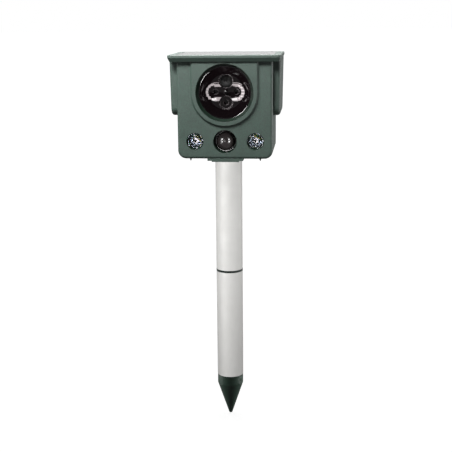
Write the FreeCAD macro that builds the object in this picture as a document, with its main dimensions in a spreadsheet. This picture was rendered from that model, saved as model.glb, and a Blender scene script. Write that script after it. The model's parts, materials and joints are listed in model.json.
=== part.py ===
"""Solar ultrasonic pest repeller on a two-section pole, in millimetres.

The origin is the tip of the ground spike, on the axis of the pole.
+Z is up, +X is to the right as seen from the front, and +Y points to the back.
Every driving dimension is a cell of the Sizes sheet, and each sub-part reads it there.
"""

import FreeCAD, Part
import math
import os
import re

import Sketcher
from FreeCAD import Placement, Rotation, Vector

SIZES = {
    # Pole: two equal aluminium tubes joined by plugs.
    "tube_od": 32.0,
    "tube_wall": 1.2,
    "tube_length": 133.2,
    "plug_length": 30.0,
    "plug_gap": 0.05,
    "cone_height": 41.4,
    "collar_height": 11.8,
    "collar_od": 31.6,
    "tip_od": 4.3,
    "ring_od": 32.4,
    "ring_height": 2.7,
    # Neck: the swivel between the pole and the head.
    "neck_shaft_radius": 13.0,
    "neck_collar_radius": 17.2,
    "neck_bore_radius": 10.0,
    # Housing.
    "head_bottom": 329.6,
    "head_top": 439.5,
    "head_half_width": 54.4,
    "face_depth": 43.5,
    "back_depth": 38.0,
    "wall": 2.5,
    "corner_radius": 9.5,
    "edge_radius": 3.0,
    "post_offset": 47.0,
    "post_low": 338.0,
    "post_high": 431.0,
    "case_screw_seat": 8.4,
    "seal_edge": 0.8,
    "seal_width": 1.0,
    "seal_height": 1.2,
    "nib_offset": 40.0,
    "hood_screw_offset": 34.0,
    "hood_screw_front": 22.0,
    "hood_screw_back": 20.0,
    "saddle_half_width": 20.5,
    "saddle_height": 2.4,
    "ledge_half_width": 15.65,
    "ledge_height": 1.2,
    # Raised panel round the speaker.
    "panel_rise": 2.5,
    "panel_radius": 38.95,
    "panel_bevel": 2.2,
    # Hood.
    "roof_half_width": 64.0,
    "roof_half_depth": 50.0,
    "roof_height": 7.5,
    "roof_slope_height": 4.3,
    "roof_slope_depth": 2.3,
    "cheek_half_width": 63.6,
    "cheek_depth": 36.0,
    "cheek_bottom": 378.0,
    "cheek_taper": 1.2,
    "cheek_corner": 9.0,
    "cheek_edge": 3.6,
    "cheek_wall": 2.0,
    "solar_half_width": 55.0,
    "solar_half_depth": 42.0,
    "solar_base_height": 1.8,
    "solar_cover_height": 1.2,
    # Speaker.
    "speaker_height": 404.6,
    "mouth_radius": 32.85,
    "horn_radius": 30.6,
    "horn_depth": 17.7,
    "horn_floor": 11.5,
    "horn_wall": 2.0,
    "throat_depth": 34.0,
    "throat_room": 12.0,
    "horn_flange_radius": 34.5,
    "horn_ear_x": 33.0,
    "horn_ear_z": 17.0,
    "lobe_radius": 17.5,
    "lobe_offset": 12.0,
    "lobe_depth": 15.0,
    "sound_hole_radius": 2.5,
    "plug_ball_radius": 2.8,
    "plug_stem_radius": 2.2,
    "driver_radius": 22.0,
    # Sensor and lamps.
    "lamp_height": 349.5,
    "lamp_offset": 34.5,
    "lamp_hole_radius": 9.85,
    "lamp_lens_radius": 8.2,
    "sensor_hole_radius": 13.5,
    "sensor_dome_radius": 10.6,
    # Back of the head.
    "board_back": 25.6,
    "board_thick": 1.6,
    "board_half_width": 41.0,
    "board_low": 397.0,
    "board_high": 434.0,
    "board_screw_offset": 37.0,
    "board_screw_low": 401.0,
    "board_screw_high": 419.5,
    "dial_offset": 26.0,
    "dial_height": 416.0,
    "dial_radius": 9.0,
    "dial_thick": 5.2,
    "shaft_radius": 3.0,
    "button_height": 424.0,
    "charge_height": 408.0,
    "tray_half_width": 31.0,
    "tray_front": 16.5,
    "tray_low": 344.7,
    "tray_high": 393.3,
    "tray_wall": 1.5,
    "cell_radius": 7.25,
    "cell_length": 50.5,
    "cell_pitch": 15.2,
    "cell_middle": 369.0,
    "door_half_width": 35.0,
    "door_low": 343.2,
    "door_high": 395.0,
    "door_thick": 2.4,
    "hinge_height": 340.5,
    "hinge_ear_start": 20.0,
    "hinge_out": 2.4,
    "hinge_pin_radius": 1.0,
}

# Heights and radii that several sub-parts share.
PLUG_RADIUS = "(tube_od / 2 - tube_wall - plug_gap)"
SPIKE_TOP = "(cone_height + collar_height)"
RING_LOW = f"({SPIKE_TOP} + tube_length)"
RING_HIGH = f"({RING_LOW} + ring_height)"
TUBE_TOP = f"({RING_HIGH} + tube_length)"
FACE_INSIDE = "(face_depth - wall)"
BACK_INSIDE = "(back_depth - wall)"
BOARD_FRONT = "(board_back - board_thick)"
ROOF_TOP = "(head_top + roof_height)"
SOLAR_FLOOR = f"({ROOF_TOP} - solar_base_height - solar_cover_height - 0.1)"
HORN_FRONT = f"({FACE_INSIDE} - 0.6)"
HORN_SPHERE = "((horn_radius^2 + horn_depth^2) / (2 * horn_depth))"
PLUG_CENTRE = "(-horn_floor - 0.4)"
PLUG_LOW = "(-horn_floor - 9)"
HINGE_AXIS = "(back_depth + hinge_out)"
TRAY_FLOOR = "(tray_front + tray_wall)"
CELL_AXIS = f"({TRAY_FLOOR} + 0.1 + cell_radius)"
CELL_START = "(-23.5)"
DOOR_INSIDE = "(back_depth + 0.4)"

# Directions that a round piece's own axis can point in.
FACING = {
    "up": Rotation(),
    "down": Rotation(Vector(1, 0, 0), 180),
    "front": Rotation(Vector(1, 0, 0), 90),
    "back": Rotation(Vector(1, 0, 0), -90),
    "right": Rotation(Vector(0, 1, 0), 90),
}
ORIGIN = ("0", "0", "0")
SIDES = {"left": "-1", "right": "1"}

doc = FreeCAD.newDocument("PestRepeller")
sheet = doc.addObject("Spreadsheet::Sheet", "Sizes")
sub_parts = []


def fill_sheet():
    """Writes each driving dimension as a named cell."""
    for row, (alias, value) in enumerate(SIZES.items(), 1):
        sheet.set(f"A{row}", alias)
        sheet.set(f"B{row}", str(value))
        sheet.setAlias(f"B{row}", alias)
    doc.recompute()


def size(alias):
    """Reads one driving dimension back from the sheet."""
    return float(sheet.get(alias))


def formula(rule):
    """Turns a rule such as "tube_od / 2" into an expression that reads the sheet."""
    return re.sub(r"[a-z_]+", lambda word: f"Sizes.{word.group()}", str(rule))


def bind(item, rules):
    """Binds properties of an object to rules."""
    for name, rule in rules.items():
        item.setExpression(name, formula(rule))


def move(item, at, facing="up"):
    """Turns an object to face one way and binds its position."""
    item.Placement = Placement(Vector(), FACING[facing])
    bind(item, {f"Placement.Base.{axis}": rule for axis, rule in zip("xyz", at)})
    return item


def keep(item, label):
    """Names a finished sub-part."""
    item.Label = label
    sub_parts.append(item)
    return item


# Solids from Part primitives and booleans.


def cylinder(radius, height, at=ORIGIN, facing="up"):
    item = doc.addObject("Part::Cylinder", "Cylinder")
    bind(item, {"Radius": radius, "Height": height})
    return move(item, at, facing)


def cone(low_radius, high_radius, height, at=ORIGIN, facing="up"):
    item = doc.addObject("Part::Cone", "Cone")
    bind(item, {"Radius1": low_radius, "Radius2": high_radius, "Height": height})
    return move(item, at, facing)


def sphere(radius, at=ORIGIN):
    item = doc.addObject("Part::Sphere", "Sphere")
    bind(item, {"Radius": radius})
    return move(item, at)


def box(low, high):
    """A box from its low corner to its high corner, each a triple of rules."""
    item = doc.addObject("Part::Box", "Box")
    spans = [f"({b}) - ({a})" for a, b in zip(low, high)]
    bind(item, dict(zip(("Length", "Width", "Height"), spans)))
    return move(item, low)


def fuse(*items):
    result = doc.addObject("Part::MultiFuse", "Fusion")
    result.Shapes = list(items)
    result.Refine = True
    return result


def cut(base, *tools):
    result = doc.addObject("Part::Cut", "Cut")
    result.Base = base
    result.Tool = tools[0] if len(tools) == 1 else fuse(*tools)
    return result


def common(base, tool):
    result = doc.addObject("Part::Common", "Common")
    result.Base = base
    result.Tool = tool
    return result


def place(label, at, facing, *items):
    """Makes one sub-part of pieces that were built about its own axis."""
    result = doc.addObject("Part::Compound", "Group")
    result.Links = list(items)
    return keep(move(result, at, facing), label)


def gather(label, items):
    """Makes one sub-part of separate solids that already stand in their places."""
    return place(label, ORIGIN, "up", *items)


def tube(outer, inner, height, at=ORIGIN, facing="up"):
    """A plain ring or tube with its low end at the given place."""
    return cut(cylinder(outer, height, at, facing), cylinder(inner, height, at, facing))


def screw(head_radius, head_height, shank_radius, shank_length, at, facing):
    """A screw whose head stands above its place and whose shank goes below it."""
    head = cylinder(head_radius, head_height)
    slot = box(("-1.6", "-0.35", f"{head_height} - 0.7"), ("1.6", "0.35", f"{head_height} + 1"))
    shank = cylinder(shank_radius, shank_length, ("0", "0", f"-({shank_length})"))
    return move(fuse(cut(head, slot), shank), at, facing)


# Solids from PartDesign bodies.


def plain_body(at=ORIGIN, facing="up"):
    return move(doc.addObject("PartDesign::Body", "Body"), at, facing)


def new_body(label, at=ORIGIN, facing="up"):
    """A body that is a sub-part of its own."""
    return keep(plain_body(at, facing), label)


def new_sketch(body, role, offset="0"):
    """A sketch on one of the body's own origin planes, moved along the plane's normal."""
    sketch = body.newObject("Sketcher::SketchObject", "Sketch")
    plane = next(item for item in body.Origin.OriginFeatures if item.Role == role)
    sketch.AttachmentSupport = [(plane, "")]
    sketch.MapMode = "FlatFace"
    bind(sketch, {"AttachmentOffset.Base.z": offset})
    return sketch


def dimension(sketch, kind, *place, rule):
    """Adds one driving dimension and binds it to a rule."""
    index = sketch.addConstraint(Sketcher.Constraint(kind, *place, 1.0))
    sketch.setExpression(f"Constraints[{index}]", formula(rule))


def polygon(sketch, points):
    """A closed outline of straight lines with both coordinates of each corner driven."""
    count = len(points)
    start = sketch.GeometryCount
    turn = 2 * math.pi / count
    rough = [Vector(9 * math.cos(turn * i), 9 * math.sin(turn * i)) for i in range(count)]
    for i in range(count):
        sketch.addGeometry(Part.LineSegment(rough[i], rough[(i + 1) % count]))
    for i, (across, along) in enumerate(points):
        line_before = start + (i - 1) % count
        sketch.addConstraint(Sketcher.Constraint("Coincident", line_before, 2, start + i, 1))
        dimension(sketch, "DistanceX", -1, 1, start + i, 1, rule=across)
        dimension(sketch, "DistanceY", -1, 1, start + i, 1, rule=along)


def rectangle(sketch, low, high):
    polygon(sketch, [low, (high[0], low[1]), high, (low[0], high[1])])


def circle(sketch, centre, radius):
    index = sketch.addGeometry(Part.Circle(Vector(1, 1, 0), Vector(0, 0, 1), 3))
    dimension(sketch, "DistanceX", -1, 1, index, 3, rule=centre[0])
    dimension(sketch, "DistanceY", -1, 1, index, 3, rule=centre[1])
    dimension(sketch, "Radius", index, rule=radius)


def pad(body, sketch, length, reverse=False):
    """Pads a sketch along its plane's normal, or against it when reversed."""
    item = body.newObject("PartDesign::Pad", "Pad")
    item.Profile = sketch
    item.Reversed = reverse
    bind(item, {"Length": length})
    return item


def pocket(body, sketch, depth, reverse=False):
    """Cuts a sketch against its plane's normal, or along it when reversed."""
    item = body.newObject("PartDesign::Pocket", "Pocket")
    item.Profile = sketch
    item.Reversed = reverse
    bind(item, {"Length": depth})
    return item


def primitive(body, kind, rules, at, facing):
    """A PartDesign primitive such as AdditiveCylinder or SubtractiveCone."""
    item = body.newObject(f"PartDesign::{kind}", kind)
    bind(item, rules)
    return move(item, at, facing)


def add_cylinder(body, radius, height, at, facing="up"):
    return primitive(body, "AdditiveCylinder", {"Radius": radius, "Height": height}, at, facing)


def cut_cylinder(body, radius, height, at, facing="up"):
    return primitive(body, "SubtractiveCylinder", {"Radius": radius, "Height": height}, at, facing)


def cut_cone(body, low_radius, high_radius, height, at, facing="up"):
    rules = {"Radius1": low_radius, "Radius2": high_radius, "Height": height}
    return primitive(body, "SubtractiveCone", rules, at, facing)


def block(body, kind, low, high):
    """An AdditiveBox or SubtractiveBox from its low corner to its high corner."""
    spans = [f"({b}) - ({a})" for a, b in zip(low, high)]
    return primitive(body, kind, dict(zip(("Length", "Width", "Height"), spans)), low, "up")


def dress(body, kind, feature, sizes, wanted):
    """Fillets or chamfers the edges of a feature that the test picks."""
    doc.recompute()
    edges = [f"Edge{i}" for i, edge in enumerate(feature.Shape.Edges, 1) if wanted(edge)]
    item = body.newObject(f"PartDesign::{kind}", kind)
    item.Base = (feature, edges)
    bind(item, sizes)
    return item


def lies_on(edge, axis, place):
    """True if the whole edge lies in the plane where that coordinate has that value."""
    bounds = edge.BoundBox
    low = getattr(bounds, axis + "Min")
    high = getattr(bounds, axis + "Max")
    return abs(low - place) < 0.01 and abs(high - place) < 0.01


def revolved(label, points, at=ORIGIN, facing="up"):
    """A body of revolution from an outline of (radius, height) corners."""
    body = new_body(label, at, facing)
    profile = new_sketch(body, "XZ_Plane")
    polygon(profile, points)
    turn = body.newObject("PartDesign::Revolution", "Revolution")
    turn.Profile = profile
    turn.ReferenceAxis = (profile, ["V_Axis"])
    turn.Angle = 360
    return body


def ring_points(outer, inner, low, high):
    return [(inner, low), (outer, low), (outer, high), (inner, high)]


# The pole.


def ground_spike():
    """Moulded stake with a blunt cone, a collar under the tube and a hollow plug inside it."""
    plug_top = f"{SPIKE_TOP} + plug_length"
    core = f"{PLUG_RADIUS} - 3"
    points = [
        ("0", "0"),
        ("tip_od / 2 - 0.6", "0"),
        ("tip_od / 2", "0.8"),
        ("collar_od / 2", "cone_height"),
        ("collar_od / 2", SPIKE_TOP),
        (PLUG_RADIUS, SPIKE_TOP),
        (PLUG_RADIUS, plug_top),
        (core, plug_top),
        (core, "cone_height"),
        ("0", "cone_height - 14"),
    ]
    revolved("ground_spike", points)


def pole_tube(label, low):
    inner = "tube_od / 2 - tube_wall"
    revolved(label, ring_points("tube_od / 2", inner, low, f"{low} + tube_length"))


def tube_coupler():
    """Plug that joins the tubes, with a ring that shows between them."""
    core = f"{PLUG_RADIUS} - 2.5"
    low = f"{RING_LOW} - plug_length"
    high = f"{RING_HIGH} + plug_length"
    points = [
        (core, low),
        (PLUG_RADIUS, low),
        (PLUG_RADIUS, RING_LOW),
        ("ring_od / 2", RING_LOW),
        ("ring_od / 2", RING_HIGH),
        (PLUG_RADIUS, RING_HIGH),
        (PLUG_RADIUS, high),
        (core, high),
    ]
    revolved("tube_coupler", points)


def neck_swivel():
    """Top plug with a collar under the head, a shaft through its floor and a flange inside."""
    collar_top = "head_bottom - 0.3"
    flange_low = "head_bottom + wall + 0.3"
    flange_high = f"{flange_low} + 2.5"
    points = [
        ("neck_bore_radius", f"{TUBE_TOP} - plug_length"),
        (PLUG_RADIUS, f"{TUBE_TOP} - plug_length"),
        (PLUG_RADIUS, TUBE_TOP),
        ("neck_collar_radius", TUBE_TOP),
        ("neck_collar_radius", collar_top),
        ("neck_shaft_radius", collar_top),
        ("neck_shaft_radius", flange_low),
        ("neck_collar_radius", flange_low),
        ("neck_collar_radius", flange_high),
        ("neck_bore_radius", flange_high),
    ]
    revolved("neck_swivel", points)


# The housing.


def shell_outline(inset, top_inset):
    """Front view of the housing, moved inwards, with its two lower corners cut across."""
    side = f"head_half_width - ({inset})"
    turn = "head_half_width - corner_radius"
    low = f"head_bottom + ({inset})"
    bend = "head_bottom + corner_radius"
    high = f"head_top - ({top_inset})"
    return [
        (f"-({side})", high),
        (f"-({side})", bend),
        (f"-({turn})", low),
        (turn, low),
        (side, bend),
        (side, high),
    ]


def shell_block(body, depth, back):
    """Solid half of the housing with round corners and edges, before it is hollowed."""
    outline = new_sketch(body, "XZ_Plane")
    rectangle(outline, ("-head_half_width", "head_bottom"), ("head_half_width", "head_top"))
    solid = pad(body, outline, depth, reverse=back)
    corner = {"Radius": "corner_radius"}

    def lower_corner(edge):
        return lies_on(edge, "Z", size("head_bottom")) and abs(edge.CenterOfMass.x) > 50

    rounded = dress(body, "Fillet", solid, corner, lower_corner)
    face = size("back_depth") if back else -size("face_depth")

    def outer_edge(edge):
        return lies_on(edge, "Y", face) and not lies_on(edge, "Z", size("head_top"))

    return dress(body, "Fillet", rounded, {"Radius": "edge_radius"}, outer_edge)


def shell_floor_fittings(body, low_y, high_y):
    """Saddle under the floor and the round openings that the neck turns in."""
    saddle_low = "head_bottom - saddle_height"
    low = ("-saddle_half_width", low_y, saddle_low)
    high = ("saddle_half_width", high_y, "head_bottom + 0.5")
    block(body, "AdditiveBox", low, high)
    below = ("0", "0", "head_bottom - saddle_height - 1")
    cut_cylinder(body, "neck_collar_radius + 0.4", "saddle_height + 1", below)
    cut_cylinder(body, "neck_shaft_radius + 0.05", "saddle_height + wall + 2", below)


def hood_screw_boss(body, side, along):
    """Vertical boss under the housing's top wall that takes one hood screw."""
    axis = (f"{side} * hood_screw_offset", along)
    add_cylinder(body, "3.5", "13.5", (*axis, "head_top - 14"))
    cut_cylinder(body, "1.5", "12", (*axis, "head_top - 12"))


def front_shell():
    """Front half of the housing with the raised panel, the openings and the screw posts."""
    body = new_body("front_shell")
    shell_block(body, "face_depth", back=False)
    raised_panel(body)
    hollow = new_sketch(body, "XZ_Plane")
    polygon(hollow, shell_outline("wall", "wall"))
    pocket(body, hollow, FACE_INSIDE, reverse=True)
    face_inside = f"-{FACE_INSIDE}"
    for side in SIDES.values():
        lamp = (f"{side} * lamp_offset", face_inside, "lamp_height")
        add_cylinder(body, "lamp_hole_radius + 1.6", "6.5", lamp, "back")
        for height in ("post_low", "post_high"):
            post = (f"{side} * post_offset", face_inside, height)
            add_cylinder(body, "4", FACE_INSIDE, post, "back")
            hole = (f"{side} * post_offset", "-15", height)
            cut_cylinder(body, "1.5", "15.5", hole, "back")
        hood_screw_boss(body, side, "-hood_screw_front")
    sensor = ("0", face_inside, "lamp_height")
    add_cylinder(body, "sensor_hole_radius + 1.6", "7", sensor, "back")
    groove = new_sketch(body, "XZ_Plane")
    polygon(groove, shell_outline("seal_edge - 0.05", "seal_edge - 0.05"))
    polygon(groove, shell_outline("seal_edge + seal_width + 0.05", "seal_edge + seal_width + 0.05"))
    pocket(body, groove, "seal_height + 0.05", reverse=True)
    face_openings(body)
    shell_floor_fittings(body, "-face_depth + 0.8", "0")
    ledge_top = "head_bottom - saddle_height"
    low = ("-ledge_half_width", "-face_depth + 0.8", f"{ledge_top} - ledge_height")
    high = ("ledge_half_width", "-face_depth + 5", f"{ledge_top} + 0.5")
    block(body, "AdditiveBox", low, high)
    for side in SIDES.values():
        nib = {"Radius1": "0.35", "Radius2": "1.4", "Height": "3.1"}
        nib_low = (f"{side} * nib_offset", "-face_depth + 4", "head_bottom - 2.6")
        primitive(body, "AdditiveCone", nib, nib_low, "up")


def raised_panel(body):
    """U-shaped pad on the face, with straight sides up to the hood and a bevelled edge."""
    sides = new_sketch(body, "XZ_Plane", "face_depth - 0.5")
    rectangle(sides, ("-panel_radius", "speaker_height"), ("panel_radius", "head_top"))
    pad(body, sides, "panel_rise + 0.5")
    foot = new_sketch(body, "XZ_Plane", "face_depth - 0.5")
    circle(foot, ("0", "speaker_height"), "panel_radius")
    pad(body, foot, "panel_rise + 0.5")
    above = ("-panel_radius", "-face_depth - panel_rise - 1", "head_top")
    whole = block(body, "SubtractiveBox", above, ("panel_radius", "0", "head_top + 9"))
    front = -size("face_depth") - size("panel_rise")

    def rim(edge):
        return lies_on(edge, "Y", front) and not lies_on(edge, "Z", size("head_top"))

    dress(body, "Chamfer", whole, {"Size": "panel_bevel"}, rim)


def face_openings(body):
    """Sloping openings for the speaker, the lamps and the sensor, and blind screw holes."""
    panel_front = "-(face_depth + panel_rise)"
    depth = "panel_rise + wall"
    speaker = ("0", panel_front, "speaker_height")
    cut_cone(body, "mouth_radius", "mouth_radius - 2.75", depth, speaker, "back")
    for side in SIDES.values():
        lamp = (f"{side} * lamp_offset", "-face_depth", "lamp_height")
        cut_cone(body, "lamp_hole_radius", "lamp_hole_radius - 1.25", "9", lamp, "back")
        for level in ("-1", "1"):
            height = f"speaker_height + {level} * horn_ear_z"
            ear = (f"{side} * horn_ear_x", "-face_depth + 0.3", height)
            cut_cylinder(body, "1.3", "wall", ear, "back")
    sensor = ("0", "-face_depth", "lamp_height")
    cut_cone(body, "sensor_hole_radius", "sensor_hole_radius - 1.1", "9.5", sensor, "back")


def rear_shell():
    """Back half of the housing: battery opening, control holes, screw wells and hinge ears."""
    body = new_body("rear_shell")
    shell_block(body, "back_depth", back=True)
    hollow = new_sketch(body, "XZ_Plane")
    polygon(hollow, shell_outline("wall", "wall"))
    pocket(body, hollow, BACK_INSIDE)
    for side in SIDES.values():
        for height in ("post_low", "post_high"):
            post = f"{side} * post_offset"
            add_cylinder(body, "4.3", BACK_INSIDE, (post, "0", height), "back")
            cut_cylinder(body, "3.2", "back_depth", (post, "case_screw_seat", height), "back")
            cut_cylinder(body, "1.7", "9", (post, "-0.3", height), "back")
        for height in ("board_screw_low", "board_screw_high"):
            standoff = (f"{side} * board_screw_offset", "board_back", height)
            add_cylinder(body, "3", f"{BACK_INSIDE} - board_back + 0.5", standoff, "back")
            cut_cylinder(body, "1.2", "6", standoff, "back")
        hood_screw_boss(body, side, "hood_screw_back")
        hinge_ear(body, side)
    control_openings(body)
    shell_floor_fittings(body, "0", "back_depth - 4")
    cut_cylinder(body, "3.2", "wall + 2", ("0", "hood_screw_back - 2", "head_top - wall - 1"))


def hinge_ear(body, side):
    """Lug outside the back wall that carries one end of the battery door's pin."""
    low_x = "hinge_ear_start" if side == "1" else "(-hinge_ear_start - 6)"
    axis = (low_x, HINGE_AXIS, "hinge_height")
    add_cylinder(body, "hinge_out", "6", axis, "right")
    low = (low_x, "back_depth - 1", "hinge_height - hinge_out")
    block(body, "AdditiveBox", low, (f"{low_x} + 6", HINGE_AXIS, "hinge_height + hinge_out"))
    inner = (f"{low_x} - 1", HINGE_AXIS, "hinge_height")
    cut_cylinder(body, "hinge_pin_radius + 0.03", "8", inner, "right")


def control_openings(body):
    """Battery opening and the holes for the dials, the button and the charge plug."""
    low = ("-tray_half_width + 0.5", f"{BACK_INSIDE} - 1", "tray_low + 1.3")
    high = ("tray_half_width - 0.5", "back_depth + 1", "tray_high - 1.3")
    block(body, "SubtractiveBox", low, high)
    outside = f"{BACK_INSIDE} - 1"
    for side in SIDES.values():
        dial = (f"{side} * dial_offset", outside, "dial_height")
        cut_cylinder(body, "3.6", "wall + 2", dial, "back")
    cut_cylinder(body, "5.4", "wall + 2", ("0", outside, "button_height"), "back")
    cut_cylinder(body, "4.6", "wall + 2", ("0", outside, "charge_height"), "back")


def case_gasket():
    """Rubber strip in the groove of the front shell's rim, open where the neck passes."""
    body = new_body("case_gasket")
    ring = new_sketch(body, "XZ_Plane")
    polygon(ring, shell_outline("seal_edge", "seal_edge"))
    polygon(ring, shell_outline("seal_edge + seal_width", "seal_edge + seal_width"))
    pad(body, ring, "seal_height")
    half = "(neck_shaft_radius + 1)"
    gap_low = (f"-{half}", "-seal_height - 1", "head_bottom")
    block(body, "SubtractiveBox", gap_low, (half, "1", "head_bottom + wall"))


def case_screws():
    """Four long screws that close the housing from deep wells in the back shell."""
    screws = []
    for side in SIDES.values():
        for height in ("post_low", "post_high"):
            head = (f"{side} * post_offset", "case_screw_seat", height)
            screws.append(screw("2.9", "2.4", "1.45", "22", head, "back"))
    gather("case_screws", screws)


# The hood and its solar panel.


def hood():
    """Roof with a recess for the solar panel, joined to a hollow cheek down each side."""
    body = plain_body()
    plan = new_sketch(body, "XY_Plane", "head_top")
    far = ("roof_half_width", "roof_half_depth")
    rectangle(plan, ("-roof_half_width", "-roof_half_depth"), far)
    slab = pad(body, plan, "roof_height")

    def upright(edge):
        return edge.BoundBox.ZLength > 1

    rounded = dress(body, "Fillet", slab, {"Radius": "4"}, upright)

    def underside(edge):
        return lies_on(edge, "Z", size("head_top"))

    slope = {"Size": "roof_slope_height", "Size2": "roof_slope_depth"}
    sloped = dress(body, "Chamfer", rounded, slope, underside)
    sloped.ChamferType = "Two distances"

    def top_rim(edge):
        return lies_on(edge, "Z", size("head_top") + size("roof_height"))

    dress(body, "Fillet", sloped, {"Radius": "1.2"}, top_rim)
    recess = new_sketch(body, "XY_Plane", ROOF_TOP)
    corner = ("solar_half_width + 0.3", "solar_half_depth + 0.3")
    rectangle(recess, ("-solar_half_width - 0.3", "-solar_half_depth - 0.3"), corner)
    pocket(body, recess, f"{ROOF_TOP} - {SOLAR_FLOOR}")
    for side in SIDES.values():
        for along in ("-hood_screw_front", "hood_screw_back"):
            axis = (f"{side} * hood_screw_offset", along)
            cut_cylinder(body, "1.7", "8", (*axis, "head_top - 1"))
            cut_cylinder(body, "2.9", "8", (*axis, f"{SOLAR_FLOOR} - 1.8"))
    cut_cylinder(body, "3.2", "8", ("0", "hood_screw_back - 2", "head_top - 1"))
    keep(fuse(body, *[cheek(side) for side in SIDES.values()]), "hood")


def cheek(side):
    """One side wing: a tapering box, open towards the housing, with rounded lower corners."""
    body = plain_body()
    inner = "(head_half_width + 0.3)"
    outer_low = "(cheek_half_width - cheek_taper)"
    top = "head_top + roof_slope_height"
    outline = new_sketch(body, "XZ_Plane", "cheek_depth")
    corners = [
        (inner, "cheek_bottom"),
        (outer_low, "cheek_bottom"),
        ("cheek_half_width", top),
        (inner, top),
    ]
    polygon(outline, [(f"{side} * {across}", along) for across, along in corners])
    wing = pad(body, outline, "2 * cheek_depth", reverse=True)

    def lower_end(edge):
        return lies_on(edge, "Z", size("cheek_bottom")) and edge.BoundBox.YLength < 0.01

    rounded = dress(body, "Fillet", wing, {"Radius": "cheek_corner"}, lower_end)

    def outer_rim(edge):
        outside = edge.CenterOfMass.x * float(side) > size("cheek_half_width") - 2
        return outside and not lies_on(edge, "Z", size("head_top") + size("roof_slope_height"))

    dress(body, "Fillet", rounded, {"Radius": "cheek_edge"}, outer_rim)
    low = "(cheek_bottom + cheek_wall)"
    for trim in ("0", "cheek_corner - cheek_wall"):
        hollow = new_sketch(body, "XZ_Plane", f"cheek_depth - cheek_corner + {trim}")
        room = [
            (f"({inner} - 0.1)", f"{low} + {trim}"),
            (f"({outer_low} - cheek_wall)", f"{low} + {trim}"),
            ("(cheek_half_width - cheek_wall)", "head_top"),
            (f"({inner} - 0.1)", "head_top"),
        ]
        polygon(hollow, [(f"{side} * {across}", along) for across, along in room])
        pocket(body, hollow, f"2 * (cheek_depth - cheek_corner + {trim})")
    return body


def hood_screws():
    """Four short screws under the solar panel that hold the hood on the housing."""
    screws = []
    for side in SIDES.values():
        for along in ("-hood_screw_front", "hood_screw_back"):
            seat = (f"{side} * hood_screw_offset", along, f"{SOLAR_FLOOR} - 1.8")
            screws.append(screw("2.6", "1.6", "1.45", "11", seat, "up"))
    gather("hood_screws", screws)


def solar_layer(label, low, height):
    """One flat layer of the solar panel: its backing board or its clear cover."""
    body = new_body(label)
    plan = new_sketch(body, "XY_Plane", low)
    far = ("solar_half_width", "solar_half_depth")
    rectangle(plan, ("-solar_half_width", "-solar_half_depth"), far)
    pad(body, plan, height)


# The speaker, built on its own axis, which points to the front.


def at_speaker(label, item):
    return place(label, ("0", f"-{HORN_FRONT}", "speaker_height"), "front", item)


def without_top(item):
    """Trims a flat on the upper edge, so that the piece clears the housing's top wall."""
    high = "head_top - wall - 0.5 - speaker_height"
    return cut(item, box(("-40", high, "-40"), ("40", "40", "1")))


def horn_ears():
    """Places of the horn's four fixing ears about its own axis."""
    return [
        (f"{across} * horn_ear_x", f"{along} * horn_ear_z")
        for across in SIDES.values()
        for along in ("-1", "1")
    ]


def speaker_horn():
    """Bowl with a fixing flange and a raised floor, whose four scoops lead back to the driver."""
    centre = ("0", "0", f"{HORN_SPHERE} - horn_depth")
    flange = cylinder("horn_flange_radius", "2.4", ("0", "0", "-2.4"))
    ears = [cylinder("4", "2.4", (*axis, "-2.4")) for axis in horn_ears()]
    envelope = cylinder("horn_flange_radius", "40", ("0", "0", "-40"))
    bowl = common(sphere(f"{HORN_SPHERE} + horn_wall", centre), envelope)
    throat_low = ("0", "0", "-throat_depth")
    throat = cylinder("driver_radius + 2", "throat_depth - horn_floor", throat_low)
    outside = fuse(flange, *ears, bowl, throat)
    above_floor = cylinder("horn_flange_radius", "horn_floor + 5", ("0", "0", "-horn_floor"))
    room_low = ("0", "0", "-throat_depth - 1")
    hollows = [
        common(sphere(HORN_SPHERE, centre), above_floor),
        cylinder("driver_radius - 3", "throat_room + 1", room_low),
    ]
    for across, along in (("1", "0"), ("0", "1"), ("-1", "0"), ("0", "-1")):
        scoop = (f"{across} * lobe_offset", f"{along} * lobe_offset")
        hollows.append(sphere("lobe_radius", (*scoop, "lobe_radius - lobe_depth")))
        hollows.append(cylinder("sound_hole_radius", "throat_room", (*scoop, "-throat_room * 2 - 2")))
    hollows.append(sphere("plug_ball_radius + 0.05", ("0", "0", PLUG_CENTRE)))
    hollows.append(cylinder("plug_stem_radius + 0.05", "9", ("0", "0", f"{PLUG_LOW} - 0.1")))
    holes = [cylinder("1.4", "5", (*axis, "-4")) for axis in horn_ears()]
    at_speaker("speaker_horn", without_top(cut(outside, *hollows, *holes)))


def horn_gasket():
    ring = tube("horn_flange_radius", "horn_radius + 0.1", "0.55", ("0", "0", "0.02"))
    at_speaker("horn_gasket", without_top(ring))


def phase_plug():
    """Ball-nosed plug where the four scoops meet."""
    stem = cylinder("plug_stem_radius", "8.5", ("0", "0", PLUG_LOW))
    ball = sphere("plug_ball_radius", ("0", "0", PLUG_CENTRE))
    at_speaker("phase_plug", fuse(stem, ball))


def driver_parts():
    """Piezo driver behind the horn: frame, thin cone, crystal disc and back cap."""
    frame = tube("driver_radius", "driver_radius - 3", "6", ("0", "0", "-40.02"))
    at_speaker("driver_frame", frame)
    skin = cut(
        cone("4", "driver_radius - 3.2", "3", ("0", "0", "-39.4")),
        cone("4", "driver_radius - 3.2", "3", ("0", "0", "-39")),
    )
    at_speaker("driver_diaphragm", skin)
    at_speaker("driver_coupler", cylinder("3.2", "0.76", ("0", "0", "-40.18")))
    at_speaker("piezo_disc", cylinder("12.5", "0.6", ("0", "0", "-40.8")))
    cup = cut(
        cylinder("driver_radius", "8", ("0", "0", "-48.04")),
        cylinder("driver_radius - 1.6", "7", ("0", "0", "-46.44")),
    )
    at_speaker("driver_cap", cup)


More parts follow.
